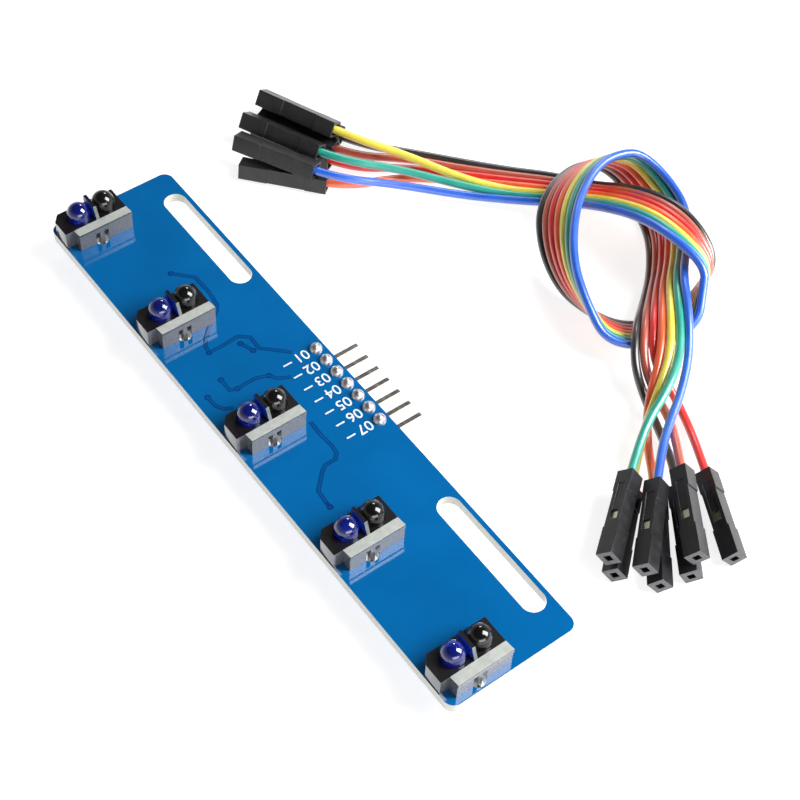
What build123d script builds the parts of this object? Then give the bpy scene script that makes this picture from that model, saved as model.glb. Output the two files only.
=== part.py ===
from build123d import *
import math
import os

# A five-eye infrared line sensor board with its loose seven-wire jumper cable, in millimetres, +Z up.
# The origin is under the middle of the board assembly, on the surface that it stands on.

# Circuit board
BOARD_LENGTH = 97.5
BOARD_WIDTH = 20.5
BOARD_THICK = 1.6
BOARD_CORNER = 1.5
UNDERSIDE_Z = 3.18
TOP_Z = UNDERSIDE_Z + BOARD_THICK

# Seven-pin right-angle header, on the long edge towards +Y
PITCH = 2.54
PIN_COUNT = 7
PIN_SIDE = 0.64
PIN_REACH = 7.48
PIN_PROUD = 0.7
PIN_TIP = 0.18
PIN_HOLE_R = 0.5
ROW_INSET = 1.43
ROW_X = 0.37
HEADER_WIDTH = 2.54
HEADER_NICK = 0.6
DOME_R = 0.95

# Lengthwise places: the assembly is centred on the board edge and the pin tips
FRONT_Y = -(BOARD_WIDTH - ROW_INSET + PIN_REACH) / 2
BACK_Y = FRONT_Y + BOARD_WIDTH
ROW_Y = BACK_Y - ROW_INSET

# Mounting slots
SLOT_SPACING = 67.6
SLOT_LENGTH = 21.0
SLOT_WIDTH = 3.5
SLOT_Y = BACK_Y - 2.45

# Sensors
SENSOR_COUNT = 5
SENSOR_SPACING = 22.46
SENSOR_LENGTH = 10.2
SENSOR_WIDTH = 5.8
SENSOR_Y = FRONT_Y + 0.1 + SENSOR_LENGTH / 2
DECK_Z = 2.95
LIP_Z = 3.3
LIP_INNER_X = 1.3
LIP_DEPTH = 0.5
LIP_PROUD = 0.12
NOTCH_X = 1.6
NOTCH_Y = 1.4
CHAMFER_X = 1.2
CHAMFER_Y = 1.0
LENS_X = -0.8
EMITTER_Y = -1.65
DETECTOR_Y = 2.5
LENS_R = 1.7
LENS_STRAIGHT_Z = 3.7
FLANGE_R = 1.85
FLANGE_Z = 1.0
POCKET_PLAY = 0.05
FIN_Y = 0.42
FIN_THICK = 0.5
FIN_TOP_Z = 4.95
FIN_BACK_X = -2.3
FIN_FRONT_X = 0.55
CLIP_SLOT_WIDTH = 2.1
CLIP_SLOT_Z = 2.0
CLIP_WIDTH = 0.7
CLIP_THICK = 0.7
CLIP_ROOT = 0.2
CLIP_PLAY = 0.05
CLIP_HOLE_R = 1.05
CLIP_HOLE_X = 2.5
BARB_OUT = 0.85
BARB_HEIGHT = 0.85
LEAD_SIDE = 0.45
LEAD_SPACING = 2.54
LEAD_HOLE_R = 0.4
CONE_R = 0.7
CONE_TIP_R = 0.35
CONE_HEIGHT = 0.9

# Chip resistors under the board
CHIP_LENGTH = 2.0
CHIP_WIDTH = 1.25
CHIP_HEIGHT = 0.55
CHIP_STEP = 16.8
LED_CHIP_Y = -0.6
PULLUP_CHIP_Y = 1.7

# Jumper cable
COLOURS = ["black", "brown", "red", "orange", "yellow", "green", "blue"]
WIRE_D = 1.2
WIRE_STEP = 1.3
PLUG_LENGTH = 14.0
PLUG_SIDE = 2.54
PLUG_MOUTH = 1.0
PLUG_MOUTH_DEPTH = 0.8
PLUG_BORE = 1.8
WINDOW_WIDTH = 1.2
WINDOW_FROM = 5.7
WINDOW_TO = 7.3
GROOVE_TO = 11.8
GROOVE_DEPTH = 0.15
WAIST_FROM = 4.6
WAIST_TO = 10.6
CONTACT_SIDE = 1.7
CONTACT_BORE = 0.9
CONTACT_FROM = 1.0
CONTACT_TO = 7.6
CONTACT_WALL = 1.0
BARREL_R = 0.8
BARREL_TO = 11.0
WIRE_LEAD_OUT = 3.0
ARC_SHARE = 0.45

# Each plug: its rear end (x, y, z), the bearing of its mouth, and its roll about its length, in degrees.
# The upper plugs of each bundle lie across the lower ones.
PLUGS_A = {
    "black": (-42.6, 35.6, 1.27, 205, 0),
    "brown": (-41.0, 33.3, 1.27, 205, 0),
    "red": (-39.2, 31.1, 1.27, 205, 0),
    "orange": (-35.3, 27.7, 1.55, 221, 14),
    "yellow": (-41.9, 33.9, 4.35, 203, 36),
    "green": (-39.2, 29.1, 4.35, 204, 36),
    "blue": (-36.1, 26.1, 4.55, 207, 22),
}
PLUGS_B = {
    "black": (39.2, 33.6, 1.75, -35, 30),
    "brown": (38.6, 34.0, 5.25, -34, 41),
    "red": (39.5, 38.5, 1.8, -27, 42),
    "orange": (38.5, 30.0, 1.8, -39, 42),
    "yellow": (35.6, 28.1, 1.8, -50, 40),
    "green": (34.9, 28.1, 4.7, -53, 41),
    "blue": (38.2, 29.9, 5.05, -48, 40),
}

# Loose wire between each plug of end A and the ribbon, then between the ribbon and end B
FAN_A = {
    "black": [(-34.5, 42.6, 0.65), (-28.0, 48.2, 0.65)],
    "brown": [(-33.6, 41.5, 0.65), (-27.0, 47.3, 0.65)],
    "red": [(-32.2, 39.9, 0.65), (-26.0, 46.4, 0.65)],
    "orange": [(-31.0, 38.0, 0.65), (-25.0, 45.5, 0.65)],
    "yellow": [(-32.5, 40.2, 3.2), (-24.0, 45.2, 2.1)],
    "green": [(-30.5, 37.8, 3.0), (-23.0, 44.2, 2.0)],
    "blue": [(-28.5, 35.6, 2.6), (-21.6, 43.2, 1.6)],
}
FAN_B = {
    "black": [(20.9, 41.0, 5.0), (25.0, 40.2, 1.5), (30.6, 38.4, 0.8)],
    "brown": [(21.4, 42.3, 5.1), (24.9, 41.8, 2.1), (30.6, 39.6, 3.4)],
    "red": [(22.1, 43.6, 5.0), (25.5, 44.4, 1.8), (31.0, 43.0, 0.65)],
    "orange": [(23.0, 44.0, 6.4), (26.4, 39.0, 3.5), (31.0, 35.2, 1.4)],
    "yellow": [(23.6, 45.2, 7.0), (27.1, 39.8, 5.2), (30.0, 35.0, 3.0)],
    "green": [(24.2, 46.5, 7.1), (27.9, 41.0, 7.0), (29.8, 35.7, 5.6)],
    "blue": [(24.8, 47.8, 6.5), (28.9, 42.7, 5.4), (32.3, 36.9, 5.0)],
}

# The ribbon: x, y, z of its middle wire, then the bearing and the lean, in degrees,
# of the direction across it from the black wire to the blue one
RIBBON = [
    (-19.5, 50.5, 1.4, -45, 10),
    (-15.0, 54.5, 2.0, -60, 10),
    (-9.5, 57.5, 3.7, -72, 17),
    (-3.5, 59.5, 6.9, -80, 10),
    (3.5, 60.5, 9.5, -90, 13),
    (10.0, 60.5, 10.0, -85, 27),
    (15.0, 60.5, 8.0, -65, 40),
    (16.5, 57.5, 5.5, -42, 50),
    (18.5, 53.5, 3.3, -15, 42),
    (17.0, 48.0, 2.6, -30, 28),
    (13.5, 43.5, 2.6, -55, 28),
    (8.5, 43.0, 4.0, -52, 57),
    (3.0, 43.5, 5.2, -1, 75),
    (-3.0, 46.5, 6.5, 39, 58),
    (-8.0, 51.0, 7.5, 33, 40),
    (-11.0, 57.5, 8.0, 17, 43),
    (-11.0, 63.0, 7.3, 2, 49),
    (-8.5, 66.0, 5.7, 20, 69),
    (-3.0, 66.0, 4.1, 59, 59),
    (3.0, 64.0, 3.8, 61, 51),
    (8.5, 59.0, 3.9, 56, 54),
    (13.0, 53.5, 5.6, 62, 50),
    (18.0, 48.5, 7.4, 65, 18),
]


def block(x0, x1, y0, y1, z0, z1):
    """A box between two corners."""
    middle = ((x0 + x1) / 2, (y0 + y1) / 2, (z0 + z1) / 2)
    return Pos(*middle) * Box(x1 - x0, y1 - y0, z1 - z0)


def post(x, y, z0, z1, radius):
    """An upright cylinder."""
    return Pos(x, y, (z0 + z1) / 2) * Cylinder(radius, z1 - z0)


def save(node, shape):
    export_step(shape, f"parts/{node}.step")


def pin_places():
    first = ROW_X - (PIN_COUNT - 1) / 2 * PITCH
    return [first + i * PITCH for i in range(PIN_COUNT)]


def sensor_places():
    middle = (SENSOR_COUNT - 1) / 2
    return [(i - middle) * SENSOR_SPACING for i in range(SENSOR_COUNT)]


def lead_places():
    """The four leads of one sensor, about the sensor's middle."""
    half = LEAD_SPACING / 2
    return [(LENS_X + side * half, y) for y in (EMITTER_Y, DETECTOR_Y) for side in (-1, 1)]


def circuit_board():
    outline = RectangleRounded(BOARD_LENGTH, BOARD_WIDTH, BOARD_CORNER)
    middle_y = (FRONT_Y + BACK_Y) / 2
    board = Pos(0, middle_y, UNDERSIDE_Z) * extrude(outline, BOARD_THICK)
    for side in (-1, 1):
        slot = SlotOverall(SLOT_LENGTH, SLOT_WIDTH)
        place = Pos(side * SLOT_SPACING / 2, SLOT_Y, UNDERSIDE_Z)
        board -= place * extrude(slot, BOARD_THICK)
    for x in pin_places():
        board -= post(x, ROW_Y, UNDERSIDE_Z, TOP_Z, PIN_HOLE_R)
    for x in sensor_places():
        for dx, dy in lead_places():
            board -= post(x + dx, SENSOR_Y + dy, UNDERSIDE_Z, TOP_Z, LEAD_HOLE_R)
        for side in (-1, 1):
            board -= post(x + side * CLIP_HOLE_X, SENSOR_Y, UNDERSIDE_Z, TOP_Z, CLIP_HOLE_R)
    return board


def snap_clip(side):
    """One tongue of a housing with its barb, on the +X or the -X wall."""
    outer = SENSOR_WIDTH / 2
    below = -BOARD_THICK - CLIP_PLAY
    outline = Polyline(
        (outer - CLIP_THICK, CLIP_SLOT_Z + CLIP_ROOT),
        (outer - CLIP_THICK, below - BARB_HEIGHT),
        (outer, below - BARB_HEIGHT),
        (outer + BARB_OUT, below),
        (outer, below),
        (outer, CLIP_SLOT_Z + CLIP_ROOT),
        close=True,
    )
    face = Plane.XZ * make_face(outline)
    clip = Pos(0, CLIP_WIDTH / 2, 0) * extrude(face, CLIP_WIDTH)
    if side < 0:
        clip = mirror(clip, Plane.YZ)
    return clip


def lens_pocket(y):
    straight = post(LENS_X, y, 0, DECK_Z, LENS_R + POCKET_PLAY)
    wide = post(LENS_X, y, 0, FLANGE_Z + POCKET_PLAY, FLANGE_R + POCKET_PLAY)
    return straight + wide


def sensor_housing():
    """A housing about its own middle, with z = 0 on the board's top face."""
    half_x = SENSOR_WIDTH / 2
    half_y = SENSOR_LENGTH / 2
    outline = Polyline(
        (-half_x + CHAMFER_X, -half_y),
        (half_x - NOTCH_X, -half_y),
        (half_x - NOTCH_X, -half_y + NOTCH_Y),
        (half_x, -half_y + NOTCH_Y),
        (half_x, half_y),
        (-half_x, half_y),
        (-half_x, -half_y + CHAMFER_Y),
        close=True,
    )
    body = extrude(make_face(outline), DECK_Z)
    lip_outline = Polyline(
        (LIP_INNER_X, DECK_Z - LIP_DEPTH),
        (half_x + LIP_PROUD, DECK_Z - LIP_DEPTH),
        (half_x + LIP_PROUD, LIP_Z),
        (LIP_INNER_X, DECK_Z),
        close=True,
    )
    lip_face = Plane.XZ * make_face(lip_outline)
    lip = Pos(0, half_y, 0) * extrude(lip_face, SENSOR_LENGTH - NOTCH_Y)
    fin_outline = Polyline(
        (FIN_BACK_X, DECK_Z - LIP_DEPTH),
        (LIP_INNER_X, DECK_Z - LIP_DEPTH),
        (LIP_INNER_X, DECK_Z),
        (FIN_FRONT_X, FIN_TOP_Z),
        (FIN_BACK_X, FIN_TOP_Z),
        close=True,
    )
    fin_face = Plane.XZ * make_face(fin_outline)
    fin = Pos(0, FIN_Y + FIN_THICK / 2, 0) * extrude(fin_face, FIN_THICK)
    housing = body + lip + fin
    slot_half = CLIP_SLOT_WIDTH / 2
    for side in (-1, 1):
        inner = half_x - CLIP_THICK - CLIP_ROOT
        edges = sorted((side * inner, side * half_x))
        housing -= block(edges[0], edges[1], -slot_half, slot_half, 0, CLIP_SLOT_Z)
    for y in (EMITTER_Y, DETECTOR_Y):
        housing -= lens_pocket(y)
    for side in (-1, 1):
        housing += snap_clip(side)
    return housing


def lens(y):
    """An emitter or a detector: a flange, a round barrel and a domed end."""
    flange = post(LENS_X, y, 0, FLANGE_Z, FLANGE_R)
    barrel = post(LENS_X, y, 0, LENS_STRAIGHT_Z, LENS_R)
    dome = Pos(LENS_X, y, LENS_STRAIGHT_Z) * Sphere(LENS_R)
    return flange + barrel + dome


def sensor_leads():
    half = LEAD_SIDE / 2
    leads = [block(x - half, x + half, y - half, y + half, -TOP_Z, 0) for x, y in lead_places()]
    return Compound(children=leads)


def sensor_solder():
    """A solder cone round every sensor lead, on the board's underside."""
    cones = []
    half = LEAD_SIDE / 2
    for x in sensor_places():
        for dx, dy in lead_places():
            place = Pos(x + dx, SENSOR_Y + dy, UNDERSIDE_Z - CONE_HEIGHT / 2)
            cone = place * Cone(CONE_TIP_R, CONE_R, CONE_HEIGHT)
            lead = block(-half, half, -half, half, 0, TOP_Z)
            cones.append(cone - Pos(x + dx, SENSOR_Y + dy, 0) * lead)
    return Compound(children=cones)


def header_pin(x):
    half = PIN_SIDE / 2
    upright = block(x - half, x + half, ROW_Y - half, ROW_Y + half, 0, TOP_Z + PIN_PROUD)
    level = block(x - half, x + half, ROW_Y - half, ROW_Y + PIN_REACH, 0, PIN_SIDE)
    tip = level.faces().sort_by(Axis.Y)[-1]
    return upright + chamfer(tip.edges(), PIN_TIP)


def header_insulator():
    pins = pin_places()
    x0 = pins[0] - PITCH / 2
    x1 = pins[-1] + PITCH / 2
    half = HEADER_WIDTH / 2
    strip = block(x0, x1, ROW_Y - half, ROW_Y + half, PIN_SIDE, UNDERSIDE_Z)
    for x in pins[:-1]:
        for side in (-1, 1):
            edge = ROW_Y + side * half
            strip -= Pos(x + PITCH / 2, edge, 0) * Rot(0, 0, 45) * Box(HEADER_NICK, HEADER_NICK, 4 * UNDERSIDE_Z)
    side = PIN_SIDE / 2
    for x in pins:
        strip -= block(x - side, x + side, ROW_Y - side, ROW_Y + side, 0, UNDERSIDE_Z)
    return strip


def header_solder():
    """A solder dome over every header pin, on the board's top face."""
    domes = []
    half = PIN_SIDE / 2
    for x in pin_places():
        ball = Pos(x, ROW_Y, TOP_Z) * Sphere(DOME_R)
        upper = block(x - DOME_R, x + DOME_R, ROW_Y - DOME_R, ROW_Y + DOME_R, TOP_Z, TOP_Z + DOME_R)
        pin = block(x - half, x + half, ROW_Y - half, ROW_Y + half, 0, TOP_Z + PIN_PROUD)
        domes.append((ball & upper) - pin)
    return Compound(children=domes)


def chip_row(y):
    chips = []
    middle = (SENSOR_COUNT - 1) / 2
    for i in range(SENSOR_COUNT):
        x = (i - middle) * CHIP_STEP
        z = UNDERSIDE_Z - CHIP_HEIGHT / 2
        chips.append(Pos(x, y, z) * Box(CHIP_LENGTH, CHIP_WIDTH, CHIP_HEIGHT))
    return Compound(children=chips)


def plug_housing():
    """A plug with its mouth at x = 0, facing +X, and its latch window on top."""
    half = PLUG_SIDE / 2
    mouth = PLUG_MOUTH / 2
    bore = PLUG_BORE / 2
    window = WINDOW_WIDTH / 2
    plug = block(-PLUG_LENGTH, 0, -half, half, -half, half)
    plug -= block(-PLUG_LENGTH, -PLUG_MOUTH_DEPTH, -bore, bore, -bore, bore)
    plug -= block(-PLUG_MOUTH_DEPTH, 0, -mouth, mouth, -mouth, mouth)
    plug -= block(-WINDOW_TO, -WINDOW_FROM, -window, window, 0, half)
    plug -= block(-GROOVE_TO, -WINDOW_TO, -window, window, half - GROOVE_DEPTH, half)
    for side in (-1, 1):
        edges = sorted((side * half, side * (half - GROOVE_DEPTH)))
        plug -= block(-WAIST_TO, -WAIST_FROM, edges[0], edges[1], -half, half)
    return plug


def crimp_contact():
    """A socket contact in the plug's own place, its barrel ending on the wire."""
    half = CONTACT_SIDE / 2
    bore = CONTACT_BORE / 2
    socket = block(-CONTACT_TO, -CONTACT_FROM, -half, half, -half, half)
    socket -= block(-CONTACT_TO + CONTACT_WALL, -CONTACT_FROM, -bore, bore, -bore, bore)
    length = BARREL_TO - CONTACT_TO
    barrel = Pos(-CONTACT_TO - length / 2, 0, 0) * Rot(0, 90, 0) * Cylinder(BARREL_R, length)
    return socket + barrel


def plug_place(spot, turned=0):
    """Where a plug lies: its mouth is a plug's length ahead of its rear end."""
    x, y, z, bearing, roll = spot
    way = math.radians(bearing)
    mouth_x = x + PLUG_LENGTH * math.cos(way)
    mouth_y = y + PLUG_LENGTH * math.sin(way)
    return Pos(mouth_x, mouth_y, z) * Rot(0, 0, bearing) * Rot(turned + roll, 0, 0)


def plug_points(spot):
    """Two points of the wire at a plug: its end inside the plug, and a point behind the plug."""
    x, y, z, bearing, _ = spot
    way = math.radians(bearing)
    inside = PLUG_LENGTH - BARREL_TO
    points = []
    for along in (inside, -WIRE_LEAD_OUT):
        points.append((x + along * math.cos(way), y + along * math.sin(way), z))
    return points


def ribbon_points(offset):
    """The ribbon's stations, moved sideways by an offset from its middle wire."""
    points = []
    for x, y, z, bearing, lean in RIBBON:
        turn = math.radians(bearing)
        rise = math.radians(lean)
        flat = offset * math.cos(rise)
        points.append((x + flat * math.cos(turn), y + flat * math.sin(turn), z + offset * math.sin(rise)))
    return points


def wire_route(index):
    colour = COLOURS[index]
    offset = (index - (len(COLOURS) - 1) / 2) * WIRE_STEP
    start = plug_points(PLUGS_A[colour])
    end = plug_points(PLUGS_B[colour])
    return start + FAN_A[colour] + ribbon_points(offset) + FAN_B[colour] + end[::-1]


def corner_radii(points):
    """The largest arc that each corner's two runs allow."""
    radii = []
    for before, here, after in zip(points, points[1:], points[2:]):
        run_in = Vector(*here) - Vector(*before)
        run_out = Vector(*after) - Vector(*here)
        turn = math.radians(run_in.get_angle(run_out))
        shorter = min(run_in.length, run_out.length)
        radii.append(ARC_SHARE * shorter / math.tan(turn / 2))
    return radii


def wire(index):
    points = wire_route(index)
    radii = corner_radii(points)
    path = FilletPolyline(*points, radius=radii)
    section = Plane(origin=path @ 0, z_dir=path % 0) * Circle(WIRE_D / 2)
    tube = sweep(section, path=path)
    expected = math.pi * (WIRE_D / 2) ** 2 * path.length
    small = ", ".join(f"{r:.1f}" for r in sorted(radii)[:4])
    print(f"wire_{COLOURS[index]}: length {path.length:.1f}, smallest radii {small}, "
          f"volume {tube.volume:.2f} of {expected:.2f}")
    return tube


def build_board():
    save("circuit_board", circuit_board())
    for i, x in enumerate(sensor_places(), start=1):
        place = Pos(x, SENSOR_Y, TOP_Z)
        save(f"sensor_housing_{i}", place * sensor_housing())
        save(f"emitter_{i}", place * lens(EMITTER_Y))
        save(f"detector_{i}", place * lens(DETECTOR_Y))
        save(f"sensor_leads_{i}", place * sensor_leads())
    save("sensor_solder", sensor_solder())
    save("header_insulator", header_insulator())
    save("header_pins", Compound(children=[header_pin(x) for x in pin_places()]))
    save("header_solder", header_solder())
    save("led_resistors", chip_row(LED_CHIP_Y))
    save("pullup_resistors", chip_row(PULLUP_CHIP_Y))


def build_cable():
    for end, plugs, turned in (("a", PLUGS_A, 180), ("b", PLUGS_B, 0)):
        contacts = []
        for colour in COLOURS:
            place = plug_place(plugs[colour], turned)
            save(f"plug_{end}_{colour}", place * plug_housing())
            contacts.append(place * crimp_contact())
        save(f"crimp_contacts_{end}", Compound(children=contacts))
    for index, colour in enumerate(COLOURS):
        save(f"wire_{colour}", wire(index))


build_board()
build_cable()
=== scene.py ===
import math

import bmesh
import bpy
from mathutils import Matrix, Vector


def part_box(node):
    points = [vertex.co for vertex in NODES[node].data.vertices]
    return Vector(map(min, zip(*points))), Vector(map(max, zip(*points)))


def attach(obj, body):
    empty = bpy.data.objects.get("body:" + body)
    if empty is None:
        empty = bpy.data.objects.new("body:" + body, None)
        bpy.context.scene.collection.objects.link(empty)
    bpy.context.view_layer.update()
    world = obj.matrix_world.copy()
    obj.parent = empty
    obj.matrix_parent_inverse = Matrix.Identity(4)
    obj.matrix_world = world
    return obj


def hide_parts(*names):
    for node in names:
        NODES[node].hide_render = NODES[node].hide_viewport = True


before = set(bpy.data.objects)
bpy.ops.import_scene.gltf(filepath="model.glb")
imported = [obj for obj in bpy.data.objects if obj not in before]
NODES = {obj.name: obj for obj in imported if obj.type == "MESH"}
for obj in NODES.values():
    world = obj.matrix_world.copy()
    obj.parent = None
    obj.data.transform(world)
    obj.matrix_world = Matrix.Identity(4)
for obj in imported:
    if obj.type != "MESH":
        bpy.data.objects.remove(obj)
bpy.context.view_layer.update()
BOARD_BODY = "sensor_board"
CABLE_BODY = "jumper_cable"
MM = 0.001

# ---------------------------------------------------------------- sizes, as in the part, in metres

UNDERSIDE_Z = 0.00318
TOP_Z = 0.00478
ROW_X = 0.00037
ROW_Y = 0.005795
PIN_PITCH = 0.00254
PIN_COUNT = 7
SENSOR_COUNT = 5
DECK_HEIGHT = 0.00295
LENS_R = 0.0017
LENS_STRAIGHT = 0.0037
LENS_FILLET = 0.12 * MM
FLANGE_R = 0.00185
FLANGE_HEIGHT = 0.001
FLANGE_ROUND = 0.1 * MM
CHIP_LENGTH = 0.002
CHIP_WIDTH = 0.00125
CHIP_HEIGHT = 0.00055
CHIP_CAP = 0.35 * MM
CHIP_INSET = 0.03 * MM
CHIP_ROUND = 0.05 * MM
MOULDED_ROUND = 0.07 * MM
HEADER_ROUND = 0.08 * MM

COLOURS = ["black", "brown", "red", "orange", "yellow", "green", "blue"]
WIRE_SHADES = {
    "black": (0.018, 0.017, 0.017),
    "brown": (0.50, 0.088, 0.052),
    "red": (0.72, 0.018, 0.014),
    "orange": (0.90, 0.12, 0.025),
    "yellow": (0.86, 0.72, 0.075),
    "green": (0.012, 0.36, 0.265),
    "blue": (0.008, 0.11, 0.62),
}
WIRE_D = 0.00128
WIRE_STEP = 0.0013
PLUG_LENGTH = 0.014
BARREL_TO = 0.011
WIRE_LEAD_OUT = 0.003
# each plug's rear end in metres, and the bearing in degrees that its mouth points to
PLUGS_A = {
    "black": (-0.0426, 0.0356, 0.00127, 205),
    "brown": (-0.041, 0.0333, 0.00127, 205),
    "red": (-0.0392, 0.0311, 0.00127, 205),
    "orange": (-0.0353, 0.0277, 0.00155, 221),
    "yellow": (-0.0419, 0.0339, 0.00435, 203),
    "green": (-0.0392, 0.0291, 0.00435, 204),
    "blue": (-0.0361, 0.0261, 0.00455, 207),
}
PLUGS_B = {
    "black": (0.0392, 0.0336, 0.00175, -35),
    "brown": (0.0386, 0.034, 0.00525, -34),
    "red": (0.0395, 0.0385, 0.0018, -27),
    "orange": (0.0385, 0.03, 0.0018, -39),
    "yellow": (0.0356, 0.0281, 0.0018, -50),
    "green": (0.0349, 0.0281, 0.0047, -53),
    "blue": (0.0382, 0.0299, 0.00505, -48),
}
# each wire's way between its plug and the ribbon
FAN_A = {
    "black": [(-0.0345, 0.0426, 0.00065), (-0.028, 0.0482, 0.00065)],
    "brown": [(-0.0336, 0.0415, 0.00065), (-0.027, 0.0473, 0.00065)],
    "red": [(-0.0322, 0.0399, 0.00065), (-0.026, 0.0464, 0.00065)],
    "orange": [(-0.031, 0.038, 0.00065), (-0.025, 0.0455, 0.00065)],
    "yellow": [(-0.0325, 0.0402, 0.0032), (-0.024, 0.0452, 0.0021)],
    "green": [(-0.0305, 0.0378, 0.003), (-0.023, 0.0442, 0.002)],
    "blue": [(-0.0285, 0.0356, 0.0026), (-0.0216, 0.0432, 0.0016)],
}
FAN_B = {
    "black": [(0.0209, 0.041, 0.005), (0.025, 0.0402, 0.0015), (0.0306, 0.0384, 0.0008)],
    "brown": [(0.0214, 0.0423, 0.0051), (0.0249, 0.0418, 0.0021), (0.0306, 0.0396, 0.0034)],
    "red": [(0.0221, 0.0436, 0.005), (0.0255, 0.0444, 0.0018), (0.031, 0.043, 0.00065)],
    "orange": [(0.023, 0.044, 0.0064), (0.0264, 0.039, 0.0035), (0.031, 0.0352, 0.0014)],
    "yellow": [(0.0236, 0.0452, 0.007), (0.0271, 0.0398, 0.0052), (0.03, 0.035, 0.003)],
    "green": [(0.0242, 0.0465, 0.0071), (0.0279, 0.041, 0.007), (0.0298, 0.0357, 0.0056)],
    "blue": [(0.0248, 0.0478, 0.0065), (0.0289, 0.0427, 0.0054), (0.0323, 0.0369, 0.005)],
}
# the ribbon's middle wire, with the bearing and the lean, in degrees, of the line across the ribbon
RIBBON = [
    (-0.0195, 0.0505, 0.0014, -45, 10),
    (-0.015, 0.0545, 0.002, -60, 10),
    (-0.0095, 0.0575, 0.0037, -72, 17),
    (-0.0035, 0.0595, 0.0069, -80, 10),
    (0.0035, 0.0605, 0.0095, -90, 13),
    (0.01, 0.0605, 0.01, -85, 27),
    (0.015, 0.0605, 0.008, -65, 40),
    (0.0165, 0.0575, 0.0055, -42, 50),
    (0.0185, 0.0535, 0.0033, -15, 42),
    (0.017, 0.048, 0.0026, -30, 28),
    (0.0135, 0.0435, 0.0026, -55, 28),
    (0.0085, 0.043, 0.004, -52, 57),
    (0.003, 0.0435, 0.0052, -1, 75),
    (-0.003, 0.0465, 0.0065, 39, 58),
    (-0.008, 0.051, 0.0075, 33, 40),
    (-0.011, 0.0575, 0.008, 17, 43),
    (-0.011, 0.063, 0.0073, 2, 49),
    (-0.0085, 0.066, 0.0057, 20, 69),
    (-0.003, 0.066, 0.0041, 59, 59),
    (0.003, 0.064, 0.0038, 61, 51),
    (0.0085, 0.059, 0.0039, 56, 54),
    (0.013, 0.0535, 0.0056, 62, 50),
    (0.018, 0.0485, 0.0074, 65, 18),
]


# ---------------------------------------------------------------- camera, floor and lights

CAMERA_PLACE = Vector((0.12193, -0.08491, 0.20039))
CAMERA_RIGHT = Vector((0.5973, 0.8011, 0.0378))
CAMERA_UP = Vector((-0.6515, 0.4572, 0.6054))
CAMERA_LENS = 79.83
CAMERA_CLIP = 0.01
SENSOR_SIZE = 36.0
SCENE_MIDDLE = Vector((0.0, 0.02, 0.0))
WHITE = (1.0, 1.0, 1.0, 1.0)
SKY_LOW = 0.55
SKY_HIGH = 0.04
SKY_FADE = (0.15, 0.65)
FLOOR_REACH = 3.0
FLOOR_DROP = 0.00002
FLOOR_SHADE = (0.4, 0.4, 0.4)
FLOOR_GLOW = 0.82
# each light's name, direction, distance, size and power in watts
SOFTBOXES = [
    ("softbox_back", (-0.55, 0.55, 0.62), 0.42, (0.08, 0.08), 0.25),
    ("softbox_right", (0.48, 0.54, 0.69), 0.42, (0.22, 0.34), 3.4),
    ("softbox_low", (0.93, -0.25, 0.28), 0.50, (0.45, 0.16), 1.0),
]


def make_camera():
    data = bpy.data.cameras.new("camera")
    data.lens = CAMERA_LENS
    data.sensor_width = SENSOR_SIZE
    data.clip_start = CAMERA_CLIP
    camera = bpy.data.objects.new("camera", data)
    back = CAMERA_RIGHT.cross(CAMERA_UP).normalized()
    up = back.cross(CAMERA_RIGHT).normalized()
    turn = Matrix((CAMERA_RIGHT.normalized(), up, back)).transposed()
    camera.matrix_world = Matrix.Translation(CAMERA_PLACE) @ turn.to_4x4()
    bpy.context.scene.collection.objects.link(camera)
    bpy.context.scene.camera = camera


def softbox(name, direction, distance, size, power):
    """A rectangular light that faces the middle of the scene from a direction."""
    data = bpy.data.lights.new(name, "AREA")
    data.shape = "RECTANGLE"
    data.size = size[0]
    data.size_y = size[1]
    data.energy = power
    light = bpy.data.objects.new(name, data)
    way = Vector(direction).normalized()
    light.location = SCENE_MIDDLE + way * distance
    light.rotation_euler = way.to_track_quat("Z", "Y").to_euler()
    bpy.context.scene.collection.objects.link(light)


def make_world():
    world = bpy.data.worlds.new("studio")
    world.use_nodes = True
    nodes = world.node_tree.nodes
    links = world.node_tree.links
    sky = nodes["Background"]
    sky.inputs["Color"].default_value = WHITE
    place = nodes.new("ShaderNodeTexCoord")
    height = nodes.new("ShaderNodeSeparateXYZ")
    links.new(place.outputs["Generated"], height.inputs["Vector"])
    glow = map_range(nodes, links, height.outputs["Z"], *SKY_FADE, SKY_LOW, SKY_HIGH)
    links.new(glow, sky.inputs["Strength"])
    bpy.context.scene.world = world
    bpy.context.scene.view_settings.view_transform = "Standard"


def make_floor():
    mesh = bpy.data.meshes.new("floor")
    r = FLOOR_REACH
    z = -FLOOR_DROP
    mesh.from_pydata([(-r, -r, z), (r, -r, z), (r, r, z), (-r, r, z)], [], [(0, 1, 2, 3)])
    floor = bpy.data.objects.new("floor", mesh)
    bpy.context.scene.collection.objects.link(floor)
    pale = surface("pale_floor", FLOOR_SHADE, roughness=0.9, bump=0.0)
    shader = pale.node_tree.nodes["Principled BSDF"]
    shader.inputs["Emission Color"].default_value = WHITE
    shader.inputs["Emission Strength"].default_value = FLOOR_GLOW
    mesh.materials.append(pale)


# ---------------------------------------------------------------- materials

NOISE_DETAIL = 4.0
NOISE_SPAN = (0.3, 0.7)
GLOSS_SPREAD = 0.15
# how far red, green and blue light go under a surface, in millimetres
SCATTER = (0.6, 0.4, 0.3)
# the mix node has sockets of the same name for every type, so its own are picked by number
MIX_FACTOR = 0
MIX_COLOURS = (6, 7)
MIX_RESULT = 2
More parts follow.
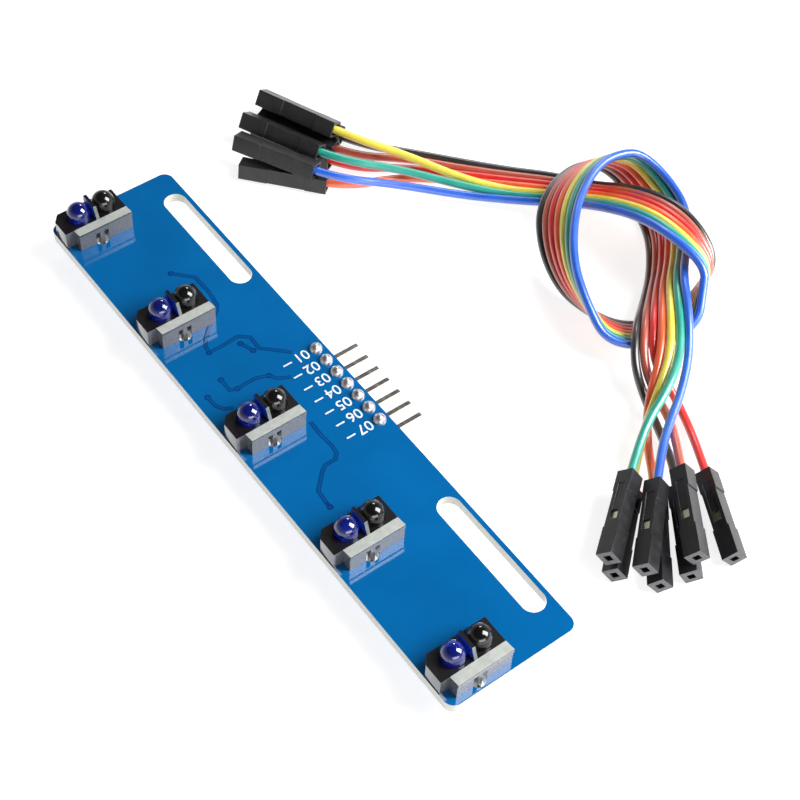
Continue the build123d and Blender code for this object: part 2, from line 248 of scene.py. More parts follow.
# the board's sawn edge; the span is how level a face is where the lacquer starts
FLAT_SPAN = (0.45, 0.55)
FIBRE_SHADES = ((0.44, 0.44, 0.36), (0.70, 0.70, 0.63))
FIBRE_LAYERS = 900.0
FIBRE_WAVER = 2.5
FIBRE_DETAIL = 3.0
# the housing's walls, its deck and a painted shadow line under the lip's edge; the span is from wall to
# deck
WALL_SHADES = ((0.085, 0.088, 0.098), (0.12, 0.125, 0.135))
WALL_GRAIN = 2600.0
WALL_ROUGHNESS = 0.14
DECK_SPAN = (0.15, 0.6)
DECK_ROUGHENING = 0.30
PAINTED_SHADOW_COLOUR = (0.035, 0.045, 0.04)
PAINTED_SHADOW_FADE = 0.06 * MM


def object_noise(nodes, links, scale):
    place = nodes.new("ShaderNodeTexCoord")
    noise = nodes.new("ShaderNodeTexNoise")
    noise.inputs["Scale"].default_value = scale
    noise.inputs["Detail"].default_value = NOISE_DETAIL
    links.new(place.outputs["Object"], noise.inputs["Vector"])
    return noise.outputs["Fac"]


def mix_colours(nodes, links, factor, first, second):
    """A colour mix; each of first and second is a colour or a socket."""
    mix = nodes.new("ShaderNodeMix")
    mix.data_type = "RGBA"
    links.new(factor, mix.inputs[MIX_FACTOR])
    for value, index in zip((first, second), MIX_COLOURS):
        socket = mix.inputs[index]
        if isinstance(value, bpy.types.NodeSocket):
            links.new(value, socket)
        else:
            socket.default_value = (*value, 1.0)
    return mix.outputs[MIX_RESULT]


def map_range(nodes, links, source, low, high, to_low=0.0, to_high=1.0):
    node = nodes.new("ShaderNodeMapRange")
    node.inputs["From Min"].default_value = low
    node.inputs["From Max"].default_value = high
    node.inputs["To Min"].default_value = to_low
    node.inputs["To Max"].default_value = to_high
    links.new(source, node.inputs["Value"])
    return node.outputs["Result"]


def surface(
    name,
    colour,
    roughness=0.4,
    metallic=0.0,
    vary=0.10,
    vary_scale=400.0,
    bump=0.25,
    bump_scale=5000.0,
    bump_depth=0.02,
    coat=0.0,
    coat_roughness=0.05,
    specular=0.5,
    transmission=0.0,
    ior=1.5,
    subsurface=0.0,
):
    """A procedural finish: mottled colour, uneven gloss and a fine grain. Depths are in millimetres."""
    material = bpy.data.materials.new(name)
    material.use_nodes = True
    nodes = material.node_tree.nodes
    links = material.node_tree.links
    shader = nodes["Principled BSDF"]
    shader.inputs["Metallic"].default_value = metallic
    shader.inputs["Coat Weight"].default_value = coat
    shader.inputs["Coat Roughness"].default_value = coat_roughness
    shader.inputs["Specular IOR Level"].default_value = specular
    shader.inputs["Transmission Weight"].default_value = transmission
    shader.inputs["IOR"].default_value = ior
    shader.inputs["Subsurface Weight"].default_value = subsurface
    shader.inputs["Subsurface Radius"].default_value = SCATTER
    shader.inputs["Subsurface Scale"].default_value = MM
    mottle = object_noise(nodes, links, vary_scale)
    darker = tuple(c * (1.0 - vary) for c in colour)
    lighter = tuple(min(1.0, c * (1.0 + vary)) for c in colour)
    shade = map_range(nodes, links, mottle, *NOISE_SPAN)
    links.new(mix_colours(nodes, links, shade, darker, lighter), shader.inputs["Base Color"])
    smoothest = roughness * (1.0 - GLOSS_SPREAD)
    roughest = min(1.0, roughness * (1.0 + GLOSS_SPREAD))
    links.new(map_range(nodes, links, mottle, *NOISE_SPAN, smoothest, roughest), shader.inputs["Roughness"])
    if bump:
        grain = object_noise(nodes, links, bump_scale)
        relief = nodes.new("ShaderNodeBump")
        relief.inputs["Strength"].default_value = bump
        relief.inputs["Distance"].default_value = bump_depth * MM
        links.new(grain, relief.inputs["Height"])
        links.new(relief.outputs["Normal"], shader.inputs["Normal"])
    return material


def base_colour_source(material):
    """The socket that feeds a finish's base colour, with its nodes and links."""
    tree = material.node_tree
    shader = tree.nodes["Principled BSDF"]
    return tree.nodes, tree.links, shader, shader.inputs["Base Color"].links[0].from_socket


def board_finish():
    """Blue lacquer on both faces; the sawn edges show pale layered glass fibre."""
    material = surface("solder_mask_blue", (0.0, 0.112, 0.33), roughness=0.10, vary=0.07, vary_scale=120.0,
                       bump=0.2, bump_scale=500.0, bump_depth=0.01, coat=0.8, coat_roughness=0.03)
    nodes, links, shader, lacquer = base_colour_source(material)
    place = nodes.new("ShaderNodeTexCoord")
    facing = nodes.new("ShaderNodeSeparateXYZ")
    links.new(place.outputs["Normal"], facing.inputs["Vector"])
    level = nodes.new("ShaderNodeMath")
    level.operation = "ABSOLUTE"
    links.new(facing.outputs["Z"], level.inputs[0])
    flat = map_range(nodes, links, level.outputs[0], *FLAT_SPAN)
    layers = nodes.new("ShaderNodeTexWave")
    layers.bands_direction = "Z"
    layers.inputs["Scale"].default_value = FIBRE_LAYERS
    layers.inputs["Distortion"].default_value = FIBRE_WAVER
    layers.inputs["Detail"].default_value = FIBRE_DETAIL
    links.new(place.outputs["Object"], layers.inputs["Vector"])
    fibre = mix_colours(nodes, links, layers.outputs["Fac"], *FIBRE_SHADES)
    links.new(mix_colours(nodes, links, flat, fibre, lacquer), shader.inputs["Base Color"])
    return material


def housing_finish():
    """Moulded black: a dark satin deck, paler polished walls, and a painted shadow line high on the lip's
    face.
    """
    material = surface("housing_black", (0.004, 0.003, 0.004), roughness=0.5, vary=0.25, vary_scale=900.0,
                       bump=0.05, bump_scale=9000.0, bump_depth=0.008, coat=0.7, coat_roughness=0.08,
                       specular=0.3)
    nodes, links, shader, deck = base_colour_source(material)
    place = nodes.new("ShaderNodeTexCoord")
    facing = nodes.new("ShaderNodeSeparateXYZ")
    links.new(place.outputs["Normal"], facing.inputs["Vector"])
    where = nodes.new("ShaderNodeSeparateXYZ")
    links.new(place.outputs["Object"], where.inputs["Vector"])
    shade = map_range(nodes, links, object_noise(nodes, links, WALL_GRAIN), *NOISE_SPAN)
    wall = mix_colours(nodes, links, shade, *WALL_SHADES)
    # painted shadow: the lip's face is darkened from the deck's height up, standing in for the shade under
    # its rounded edge
    shadow_line_foot = TOP_Z + DECK_HEIGHT
    above = map_range(nodes, links, where.outputs["Z"], shadow_line_foot, shadow_line_foot + PAINTED_SHADOW_FADE)
    side = mix_colours(nodes, links, above, wall, PAINTED_SHADOW_COLOUR)
    level = map_range(nodes, links, facing.outputs["Z"], *DECK_SPAN)
    links.new(mix_colours(nodes, links, level, side, deck), shader.inputs["Base Color"])
    gloss = shader.inputs["Roughness"].links[0].from_socket
    polish = nodes.new("ShaderNodeMath")
    polish.operation = "MULTIPLY_ADD"
    polish.inputs[1].default_value = DECK_ROUGHENING
    polish.inputs[2].default_value = WALL_ROUGHNESS
    links.new(level, polish.inputs[0])
    satin = nodes.new("ShaderNodeMath")
    satin.operation = "MINIMUM"
    links.new(gloss, satin.inputs[0])
    links.new(polish.outputs[0], satin.inputs[1])
    links.new(satin.outputs[0], shader.inputs["Roughness"])
    return material


def make_materials():
    tin = dict(metallic=1.0, vary=0.12, vary_scale=1500.0, bump=0.35, bump_scale=2500.0, bump_depth=0.05)
    finishes = {
        "solder_mask": board_finish(),
        "housing_plastic": housing_finish(),
        "emitter_epoxy": surface("emitter_blue", (0.010, 0.026, 0.44), roughness=0.05, vary=0.15,
                                 vary_scale=500.0, bump=0.05, bump_scale=900.0, transmission=0.75,
                                 ior=1.54, coat=0.8, coat_roughness=0.10, specular=0.8),
        "detector_epoxy": surface("detector_black", (0.004, 0.004, 0.004), roughness=0.13, vary=0.3,
                                  vary_scale=500.0, bump=0.1, bump_scale=900.0, specular=0.8),
        "tinned_lead": surface("tinned_lead", (0.70, 0.69, 0.66), roughness=0.30, **tin),
        "solder": surface("solder_bright", (0.74, 0.70, 0.68), roughness=0.36, metallic=1.0, vary=0.12,
                          vary_scale=1200.0, bump=0.12, bump_scale=1500.0, bump_depth=0.02),
        "header_plastic": surface("header_black", (0.015, 0.015, 0.016), roughness=0.42, bump_scale=8000.0),
        "pin_plating": surface("pin_plating", (0.82, 0.77, 0.72), roughness=0.18, metallic=1.0, vary=0.12,
                               vary_scale=1500.0, bump=0.1, bump_scale=4000.0, bump_depth=0.005),
        "chip_body": surface("chip_ceramic", (0.02, 0.02, 0.02), roughness=0.25, vary=0.25),
        "chip_end": surface("chip_tin", (0.75, 0.75, 0.74), roughness=0.3, **tin),
        "plug_plastic": surface("plug_black", (0.018, 0.017, 0.019), roughness=0.33, vary=0.25,
                                vary_scale=700.0, bump=0.25, bump_scale=4500.0, bump_depth=0.012),
        "contact_metal": surface("contact_tin", (0.90, 0.87, 0.62), roughness=0.32, **tin),
        "silkscreen": surface("silkscreen_white", (0.74, 0.80, 0.84), roughness=0.5, bump_scale=6000.0),
        # painted light: the emitter's blue light cast onto the fin's side beside it
        "fin_painted_blue_light": surface("fin_painted_blue_light", (0.010, 0.055, 0.54), roughness=0.3, vary=0.25,
                                vary_scale=900.0, bump_scale=9000.0, specular=0.6),
        "trace": surface("trace_blue", (0.0, 0.075, 0.245), roughness=0.10, vary=0.12, vary_scale=300.0,
                         bump=0.1, bump_scale=500.0, bump_depth=0.01, coat=0.8, coat_roughness=0.03),
        "trace_edge": surface("trace_edge", (0.0, 0.040, 0.18), roughness=0.10, vary=0.12, vary_scale=300.0,
                              bump=0.1, bump_scale=500.0, bump_depth=0.01, coat=0.8, coat_roughness=0.03),
        # painted highlight: the lip's slope is painted pale as the sheen of the back light on it
        "lip_painted_sheen": surface("lip_painted_sheen", (0.49, 0.515, 0.48), roughness=0.38, vary=0.10, vary_scale=1100.0,
                            bump_scale=7000.0, bump_depth=0.01),
        "fin_edge": surface("fin_edge", (0.16, 0.172, 0.165), roughness=0.3, vary=0.15, vary_scale=1100.0,
                            bump_scale=7000.0, bump_depth=0.01),
        "plug_rim": surface("plug_rim", (0.12, 0.125, 0.13), roughness=0.5, vary=0.3, vary_scale=1500.0,
                            bump_scale=6000.0),
    }
    vinyl = dict(roughness=0.36, vary=0.10, vary_scale=350.0, bump=0.25, bump_scale=2500.0, bump_depth=0.02,
                 coat=1.0, coat_roughness=0.28, specular=1.0, subsurface=0.12)
    for colour, shade in WIRE_SHADES.items():
        finishes["insulation_" + colour] = surface("insulation_" + colour, shade, **vinyl)
    return finishes


# ---------------------------------------------------------------- making and placing pieces

SHARP_DEGREES = 40.0
FLAT_DEGREES = 1.5
WELD = 0.002 * MM
ROUND_STEPS = 2
FACE_WEIGHT = 100
ON_AXIS = 1e-9


def link(name, mesh, slot, body, *replaced, material=None):
    """Puts a mesh in the scene as a piece that rides on a body."""
    piece = bpy.data.objects.new(name, mesh)
    bpy.context.scene.collection.objects.link(piece)
    mesh.materials.clear()
    mesh.materials.append(MATERIALS[material or slot])
    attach(piece, body)
    if replaced:
        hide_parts(*replaced)
    return piece


def smooth(mesh, sharp_degrees=SHARP_DEGREES):
    for face in mesh.polygons:
        face.use_smooth = True
    mesh.set_sharp_from_angle(angle=math.radians(sharp_degrees))


def keep_flats_flat(piece):
    """Lets a rounded edge's shading run into the edge only, and not across the flat faces beside it."""
    weigh = piece.modifiers.new("flat_faces", "WEIGHTED_NORMAL")
    weigh.keep_sharp = True
    weigh.weight = FACE_WEIGHT


def rounded_copy(node, round_by, crease=None):
    """A CAD node's mesh with its flat faces joined up and its sharp edges rounded.

    Shallow edges within the crease's two angles, in degrees, stay crisp.
    """
    shape = bmesh.new()
    shape.from_mesh(NODES[node].data)
    bmesh.ops.remove_doubles(shape, verts=shape.verts, dist=WELD)
    bmesh.ops.dissolve_limit(shape, angle_limit=math.radians(FLAT_DEGREES), verts=shape.verts,
                             edges=shape.edges)
    limit = math.radians(SHARP_DEGREES)
    sharp = [e for e in shape.edges if e.is_manifold and e.calc_face_angle(0.0) > limit]
    bmesh.ops.bevel(shape, geom=sharp, offset=round_by, segments=ROUND_STEPS, profile=0.5,
                    affect="EDGES", clamp_overlap=True)
    crisp = []
    if crease:
        low, high = (math.radians(angle) for angle in crease)
        crisp = [e.is_manifold and low < e.calc_face_angle(0.0) < high for e in shape.edges]
    mesh = bpy.data.meshes.new(node + "_rounded")
    shape.to_mesh(mesh)
    shape.free()
    smooth(mesh)
    for edge, keep in zip(mesh.edges, crisp):
        if keep:
            edge.use_edge_sharp = True
    return mesh


def lathe_into(shape, outline, place, turns):
    """Adds a closed round body: the outline is (radius, height) from one end of its axis to the other."""
    rings = []
    for radius, height in outline:
        if radius < ON_AXIS:
            rings.append([shape.verts.new(place + Vector((0.0, 0.0, height)))])
            continue
        ring = []
        for i in range(turns):
            angle = math.tau * i / turns
            spot = Vector((radius * math.cos(angle), radius * math.sin(angle), height))
            ring.append(shape.verts.new(place + spot))
        rings.append(ring)
    for low, high in zip(rings, rings[1:]):
        for i in range(turns):
            j = (i + 1) % turns
            corners = [low[i % len(low)], low[j % len(low)], high[j % len(high)], high[i % len(high)]]
            unique = list(dict.fromkeys(corners))
            shape.faces.new(unique)


def arc(centre_r, centre_h, radius, start, end, steps):
    """Points of an arc in (radius, height), angles in degrees from the outward radius."""
    points = []
    for i in range(steps + 1):
        angle = math.radians(start + (end - start) * i / steps)
        points.append((centre_r + radius * math.cos(angle), centre_h + radius * math.sin(angle)))
    return points


def in_metres(outline):
    """An outline's points, from millimetres."""
    return [(radius * MM, height * MM) for radius, height in outline]


def box_into(shape, low, high):
    size = Vector(high) - Vector(low)
    middle = (Vector(high) + Vector(low)) / 2
    place = Matrix.Translation(middle) @ Matrix.Diagonal((*size, 1.0))
    bmesh.ops.create_cube(shape, size=1.0, matrix=place)


def finish_mesh(name, shape, sharp_degrees=SHARP_DEGREES):
    bmesh.ops.recalc_face_normals(shape, faces=shape.faces)
    mesh = bpy.data.meshes.new(name)
    shape.to_mesh(mesh)
    shape.free()
    smooth(mesh, sharp_degrees)
    return mesh


def paint_node(node, material):
    """Gives a CAD node that stays in view its finish."""
    piece = NODES[node]
    if not piece.material_slots:
        piece.data.materials.append(None)
    for place in piece.material_slots:
        place.material = MATERIALS[material]


# ---------------------------------------------------------------- the cable

MOUTH_DEPTH = 0.1 * MM
MOUTH_FACING = 0.5


def plug_points(spot):
    """Two points of the wire at a plug: its end inside the plug, and a point behind the plug."""
    x, y, z, bearing = spot
    turn = math.radians(bearing)
    inside = PLUG_LENGTH - BARREL_TO
    points = []
    for along in (inside, -WIRE_LEAD_OUT):
        points.append((x + along * math.cos(turn), y + along * math.sin(turn), z))
    return points


def ribbon_points(offset):
    """The ribbon's stations, moved sideways by an offset from its middle wire."""
    points = []
    for x, y, z, bearing, lean in RIBBON:
        turn = math.radians(bearing)
        rise = math.radians(lean)
        flat = offset * math.cos(rise)
        points.append((x + flat * math.cos(turn), y + flat * math.sin(turn), z + offset * math.sin(rise)))
    return points


def wire_route(index):
    colour = COLOURS[index]
    offset = (index - (len(COLOURS) - 1) / 2) * WIRE_STEP
    start = plug_points(PLUGS_A[colour])
    end = plug_points(PLUGS_B[colour])
    return start + FAN_A[colour] + ribbon_points(offset) + FAN_B[colour] + end[::-1]


def make_wire(index):
    colour = COLOURS[index]
    curve = bpy.data.curves.new("wire_line_" + colour, "CURVE")
    curve.dimensions = "3D"
    curve.bevel_depth = WIRE_D / 2
    curve.bevel_resolution = 6
    curve.resolution_u = 12
    curve.use_fill_caps = True
    points = wire_route(index)
    spline = curve.splines.new("NURBS")
    spline.points.add(len(points) - 1)
    for knot, point in zip(spline.points, points):
        knot.co = (*point, 1.0)
    spline.order_u = 3
    spline.use_endpoint_u = True
    curve.materials.append(MATERIALS["insulation_" + colour])
    wire = bpy.data.objects.new("insulated_wire_" + colour, curve)
    bpy.context.scene.collection.objects.link(wire)
    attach(wire, CABLE_BODY)
    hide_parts("wire_" + colour)
    return wire


def make_plug(end, colour):
    node = f"plug_{end}_{colour}"
    mesh = rounded_copy(node, MOULDED_ROUND)
    piece = link("shell_" + node, mesh, "plug_plastic", CABLE_BODY, node)
    mesh.materials.append(MATERIALS["plug_rim"])
    x, y, z, bearing = (PLUGS_A if end == "a" else PLUGS_B)[colour]
    way = Vector((math.cos(math.radians(bearing)), math.sin(math.radians(bearing)), 0.0))
    for face in mesh.polygons:
        ahead = (face.center - Vector((x, y, z))).dot(way)
        if face.normal.dot(way) > MOUTH_FACING and ahead > PLUG_LENGTH - MOUTH_DEPTH:
            face.material_index = 1
    keep_flats_flat(piece)
    return piece


def make_cable():
    for index, colour in enumerate(COLOURS):
        plugs = [make_plug(end, colour) for end in ("a", "b")]
        # each end's contacts are one node, so they are added to the first wire's list of plugs
        if index == 0:
            plugs += [NODES["crimp_contacts_a"], NODES["crimp_contacts_b"]]
        wire = make_wire(index)


# ---------------------------------------------------------------- the sensors

# the reflector cup that carries the die, seen through the clear blue epoxy, in millimetres
CUP_OUTLINE = [
    (0.0, 0.0), (0.42, 0.0), (0.42, 0.9), (0.62, 1.15), (0.62, 1.5), (0.52, 1.5), (0.3, 1.2), (0.0, 1.2),
]
# the cup's and the post's places, from the emitter's middle and the board's top
CUP_X = 0.3 * MM
CUP_FOOT = 0.9 * MM
POST_X = (-0.95 * MM, -0.6 * MM)
POST_HALF_WIDTH = 0.2 * MM
POST_Z = (0.3 * MM, 2.3 * MM)
# the housing's shallow edges that stay crisp, in degrees
LIP_CREASE = (5.0, 20.0)
# limits on the normals of the housing's faces that get colours of their own: painted light on the fin's
# side and on the lip, and the fin's front edge
LIP_TOP_Z = (0.95, 0.995)
LIP_SLOPE_X = 0.3
LIP_SLOPE_Z = 0.45
FIN_SIDE_Y = -0.8
FIN_EDGE_X = 0.8
FIN_EDGE_Z = 0.25


def node_middle(node):
    low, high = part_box(node)
    return (low + high) / 2


def lens_outline():
    inner = FLANGE_R - FLANGE_ROUND
    outline = [(0.0, 0.0), (inner, 0.0)]
    outline += arc(inner, FLANGE_ROUND, FLANGE_ROUND, -90, 0, 4)
    outline += arc(inner, FLANGE_HEIGHT - FLANGE_ROUND, FLANGE_ROUND, 0, 90, 4)
    outline += arc(LENS_R + LENS_FILLET, FLANGE_HEIGHT + LENS_FILLET, LENS_FILLET, -90, -180, 4)[1:]
    outline += arc(0.0, LENS_STRAIGHT, LENS_R, 0, 90, 18)[:-1]
    outline += [(0.0, LENS_STRAIGHT + LENS_R)]
    return outline


def make_lens(kind, number, slot):
    node = f"{kind}_{number}"
    middle = node_middle(node)
    place = Vector((middle.x, middle.y, TOP_Z))
    shape = bmesh.new()
    lathe_into(shape, lens_outline(), place, turns=64)
    mesh = finish_mesh(node + "_dome", shape)
    link(node + "_dome", mesh, slot, BOARD_BODY, node)


def make_die_cup(number):
    middle = node_middle(f"emitter_{number}")
    shape = bmesh.new()
    foot = Vector((middle.x + CUP_X, middle.y, TOP_Z + CUP_FOOT))
    lathe_into(shape, in_metres(CUP_OUTLINE), foot, turns=32)
    post_low = (middle.x + POST_X[0], middle.y - POST_HALF_WIDTH, TOP_Z + POST_Z[0])
    post_high = (middle.x + POST_X[1], middle.y + POST_HALF_WIDTH, TOP_Z + POST_Z[1])
    box_into(shape, post_low, post_high)
    mesh = finish_mesh(f"die_cup_{number}", shape)
    link(f"die_cup_{number}", mesh, "tinned_lead", BOARD_BODY)


def housing_finish_index(face):
    """0 is plain; 1 is the fin's side by the emitter, painted with the emitter's blue light, 2 the sloping
    lip, painted pale as a sheen, and 3 the fin's front edge.
    """
    way = face.normal
    if face.center.z <= TOP_Z + DECK_HEIGHT:
        return 0
    if way.y < FIN_SIDE_Y:
        return 1
    if LIP_TOP_Z[0] < way.z < LIP_TOP_Z[1] or (way.x > LIP_SLOPE_X and way.z > LIP_SLOPE_Z):
        return 2
    if way.x > FIN_EDGE_X and way.z > FIN_EDGE_Z:
        return 3
    return 0


def make_housing(number):
    node = f"sensor_housing_{number}"
    mesh = rounded_copy(node, MOULDED_ROUND, crease=LIP_CREASE)
    piece = link("shell_" + node, mesh, "housing_plastic", BOARD_BODY, node)
    # the fin's side and the lip get painted light: a blue cast and a pale sheen
    for material in ("fin_painted_blue_light", "lip_painted_sheen", "fin_edge"):
        mesh.materials.append(MATERIALS[material])
    for face in mesh.polygons:
        face.material_index = housing_finish_index(face)
    keep_flats_flat(piece)


def make_sensors():
    for number in range(1, SENSOR_COUNT + 1):
        make_housing(number)
        make_lens("emitter", number, "emitter_epoxy")
        make_lens("detector", number, "detector_epoxy")
        make_die_cup(number)
        paint_node(f"sensor_leads_{number}", "tinned_lead")


# ---------------------------------------------------------------- solder, header and resistors

# the solder on a sensor lead below the board and on a header pin above it, in millimetres
CONE_OUTLINE = [
    (0.0, 0.0), (0.7, 0.0), (0.68, -0.06), (0.52, -0.25), (0.41, -0.5), (0.35, -0.8), (0.24, -0.9),
    (0.0, -0.9),
]
DOME_OUTLINE = [
    (0.0, 0.0), (0.95, 0.0), (0.95, 0.08), (0.9, 0.3), (0.78, 0.55), (0.58, 0.76), (0.34, 0.88),
    (0.16, 0.94), (0.0, 0.96),
]


def pin_places():
    """Every header pin's place along the row."""
    first = ROW_X - (PIN_COUNT - 1) / 2 * PIN_PITCH
    return [first + i * PIN_PITCH for i in range(PIN_COUNT)]


def lead_places():
    """Every sensor lead's place in plan, a pair astride the middle of each emitter and detector."""
    places = []
    for number in range(1, SENSOR_COUNT + 1):
        for kind in ("emitter", "detector"):
            middle = node_middle(f"{kind}_{number}")
            for side in (-1, 1):
                places.append((middle.x + side * PIN_PITCH / 2, middle.y))
    return places


def make_sensor_solder():
    shape = bmesh.new()
    for x, y in lead_places():
        lathe_into(shape, in_metres(CONE_OUTLINE), Vector((x, y, UNDERSIDE_Z)), turns=28)
    mesh = finish_mesh("solder_cones", shape, sharp_degrees=60.0)
    link("solder_cones", mesh, "solder", BOARD_BODY, "sensor_solder")


def make_header_solder():
    shape = bmesh.new()
    for x in pin_places():
        lathe_into(shape, in_metres(DOME_OUTLINE), Vector((x, ROW_Y, TOP_Z)), turns=36)
    mesh = finish_mesh("solder_domes", shape, sharp_degrees=70.0)
    link("solder_domes", mesh, "solder", BOARD_BODY, "header_solder")


def make_header():
    mesh = rounded_copy("header_insulator", HEADER_ROUND)
    keep_flats_flat(link("header_shell", mesh, "header_plastic", BOARD_BODY, "header_insulator"))
    paint_node("header_pins", "pin_plating")


def make_resistors(node, name):
    low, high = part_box(node)
    step = (high.x - low.x - CHIP_LENGTH) / (SENSOR_COUNT - 1)
    middle_y = (low.y + high.y) / 2
    y0 = middle_y - CHIP_WIDTH / 2
    y1 = middle_y + CHIP_WIDTH / 2
    z0 = UNDERSIDE_Z - CHIP_HEIGHT
    bodies = bmesh.new()
    ends = bmesh.new()
    for i in range(SENSOR_COUNT):
        x0 = low.x + i * step
        body_low = (x0 + CHIP_CAP, y0 + CHIP_INSET, z0 + CHIP_INSET)
        box_into(bodies, body_low, (x0 + CHIP_LENGTH - CHIP_CAP, y1 - CHIP_INSET, UNDERSIDE_Z))
        for start in (x0, x0 + CHIP_LENGTH - CHIP_CAP):
            box_into(ends, (start, y0, z0), (start + CHIP_CAP, y1, UNDERSIDE_Z))
    for shape, part, material in ((bodies, "bodies", "chip_body"), (ends, "ends", "chip_end")):
        bmesh.ops.bevel(shape, geom=list(shape.edges), offset=CHIP_ROUND, segments=ROUND_STEPS,
                        affect="EDGES")
        mesh = finish_mesh(f"{name}_{part}", shape)
        link(f"{name}_{part}", mesh, "chip_body", BOARD_BODY, node, material=material)


# ---------------------------------------------------------------- copper under the lacquer, printed numbers

# each trace's corners and each via's middle, in millimetres
TRACES = [
    [(-30.9, -3.4), (-28.3, -0.9), (-25.0, -0.8), (-22.2, -1.1), (-21.2, -1.8), (-19.3, -4.3),
     (-17.9, -5.8), (-16.6, -6.7), (-15.3, -6.9)],
    [(-15.3, -6.9), (-15.3, -4.8), (-15.5, -2.0), (-14.4, -0.6), (-12.0, -0.7), (-9.4, 2.0), (-8.7, 2.7)],
    [(-14.2, -2.4), (-13.2, -2.0), (-12.1, -1.6)],
    [(-10.3, -8.2), (-8.1, -8.2), (-7.7, -7.2), (-7.8, -5.6), (-7.8, -4.1), (-7.1, -2.3), (-6.1, -1.7),
     (-5.4, -0.5), (-5.2, 0.1)],
    [(-8.8, -11.4), (-6.9, -11.3), (-5.8, -10.6), (-5.2, -9.4)],
    [(2.8, -2.2), (5.5, -2.3), (7.8, -2.1), (9.1, -2.3), (9.9, -3.0), (9.9, -4.7), (10.5, -5.6),
     (12.8, -7.9), (14.9, -8.1), (15.8, -8.1)],
]
VIAS = [
    (-30.9, -3.4), (-15.3, -6.9), (-14.2, -2.4), (-12.1, -1.6), (-10.3, -8.2), (-7.7, -7.2), (-7.1, -2.3),
    (-8.8, -11.4), (15.8, -8.1),
]
TRACE_WIDTH = 0.62 * MM
TRACE_HEIGHT = 0.008 * MM
TRACE_TOP_SHARE = 0.55
MITRE_LIMIT = 0.5
VIA_R = 0.48 * MM
VIA_HOLE_R = 0.20 * MM
VIA_RIM_HEIGHT = 1.2 * TRACE_HEIGHT
VIA_DIP_HEIGHT = 0.2 * TRACE_HEIGHT
VIA_OUTLINE = [
    (0.0, 0.0), (VIA_R, 0.0), (VIA_R * 0.75, VIA_RIM_HEIGHT), (VIA_HOLE_R * 1.5, VIA_RIM_HEIGHT),
    (VIA_HOLE_R, VIA_DIP_HEIGHT), (0.0, VIA_DIP_HEIGHT),
]
# a trace's cross-section from foot to foot, as shares of its half width and of its height
TRACE_SECTION = [(1.0, 0.0), (TRACE_TOP_SHARE, 1.0), (-TRACE_TOP_SHARE, 1.0), (-1.0, 0.0)]
TRACE_TOP_SIDE = 1


def strip_into(shape, points):
    """A thin raised strip with mitred corners along a line on the board; its flanks get a darker finish."""
    line = [Vector((x * MM, y * MM)) for x, y in points]
    rows = []
    for i, here in enumerate(line):
        ways = []
        if i > 0:
            ways.append((here - line[i - 1]).normalized())
        if i < len(line) - 1:
            ways.append((line[i + 1] - here).normalized())
        way = sum(ways, Vector((0.0, 0.0))).normalized()
        spread = 1.0 / max(MITRE_LIMIT, way.dot(ways[0]))
        across = Vector((-way.y, way.x)) * (TRACE_WIDTH / 2 * spread)
        row = []
        for share, height in TRACE_SECTION:
            spot = here + across * share
            row.append(shape.verts.new((spot.x, spot.y, TOP_Z + TRACE_HEIGHT * height)))
        rows.append(row)
    for low, high in zip(rows, rows[1:]):
        for a in range(len(TRACE_SECTION)):
            b = (a + 1) % len(TRACE_SECTION)
            face = shape.faces.new((low[a], low[b], high[b], high[a]))
            face.material_index = 0 if a == TRACE_TOP_SIDE else 1
    shape.faces.new(rows[0])
    shape.faces.new(rows[-1][::-1])


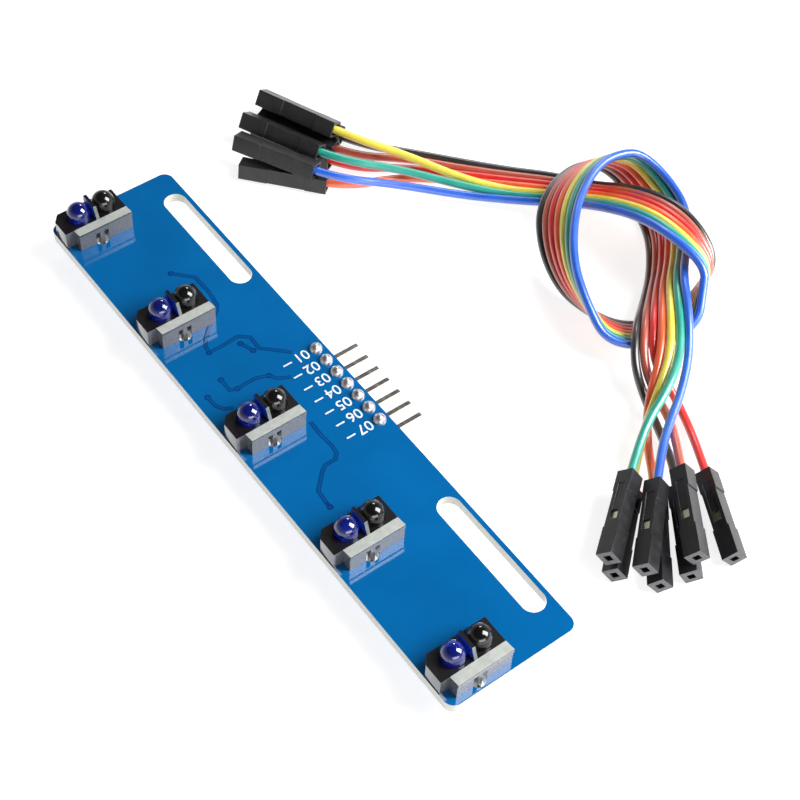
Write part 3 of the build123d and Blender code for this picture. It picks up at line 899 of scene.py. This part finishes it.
def make_traces():
    shape = bmesh.new()
    for points in TRACES:
        strip_into(shape, points)
    for x, y in VIAS:
        centre = Vector((x * MM, y * MM, TOP_Z))
        lathe_into(shape, VIA_OUTLINE, centre, turns=24)
        for face in shape.faces:
            if VIA_HOLE_R < (face.calc_center_median() - centre).length < VIA_R:
                face.material_index = 1
    mesh = finish_mesh("traces", shape, sharp_degrees=20.0)
    marks = [face.material_index for face in mesh.polygons]
    link("traces", mesh, "solder_mask", BOARD_BODY, material="trace")
    mesh.materials.append(MATERIALS["trace_edge"])
    mesh.polygons.foreach_set("material_index", marks)


LABEL_START_Y = 4.55 * MM
LABEL_SIZE = 2.35 * MM
LABEL_SHIFT = 0.36 * LABEL_SIZE
INK_HEIGHT = 0.02 * MM
INK_SPREAD = 0.01 * MM
DASH_FROM = 2.9 * MM
DASH_TO = 4.3 * MM
DASH_WIDTH = 0.22 * MM


def make_labels():
    """A plain running number beside each header pin, and a short dash that leads from it."""
    shape = bmesh.new()
    for number, x in enumerate(pin_places(), start=1):
        data = bpy.data.curves.new("number", "FONT")
        data.body = f"{number:02d}"
        data.size = LABEL_SIZE
        data.extrude = INK_HEIGHT
        data.offset = INK_SPREAD
        text = bpy.data.objects.new("number", data)
        bpy.context.scene.collection.objects.link(text)
        bpy.context.view_layer.update()
        solid = bpy.data.meshes.new_from_object(text.evaluated_get(bpy.context.evaluated_depsgraph_get()))
        place = Matrix.Translation((x - LABEL_SHIFT, LABEL_START_Y, TOP_Z + INK_HEIGHT))
        solid.transform(place @ Matrix.Rotation(math.radians(-90), 4, "Z"))
        shape.from_mesh(solid)
        bpy.data.objects.remove(text)
        low = (x - DASH_WIDTH / 2, LABEL_START_Y - DASH_TO, TOP_Z)
        high = (x + DASH_WIDTH / 2, LABEL_START_Y - DASH_FROM, TOP_Z + 2 * INK_HEIGHT)
        box_into(shape, low, high)
    mesh = finish_mesh("pin_numbers", shape, sharp_degrees=30.0)
    link("pin_numbers", mesh, "solder_mask", BOARD_BODY, material="silkscreen")


# ---------------------------------------------------------------- all together


MATERIALS = make_materials()
make_camera()
make_world()
for light in SOFTBOXES:
    softbox(*light)
make_floor()
make_cable()
paint_node("crimp_contacts_a", "contact_metal")
paint_node("crimp_contacts_b", "contact_metal")
paint_node("circuit_board", "solder_mask")
make_sensors()
make_sensor_solder()
make_header_solder()
make_header()
make_resistors("led_resistors", "led_chips")
make_resistors("pullup_resistors", "pullup_chips")
make_traces()
make_labels()
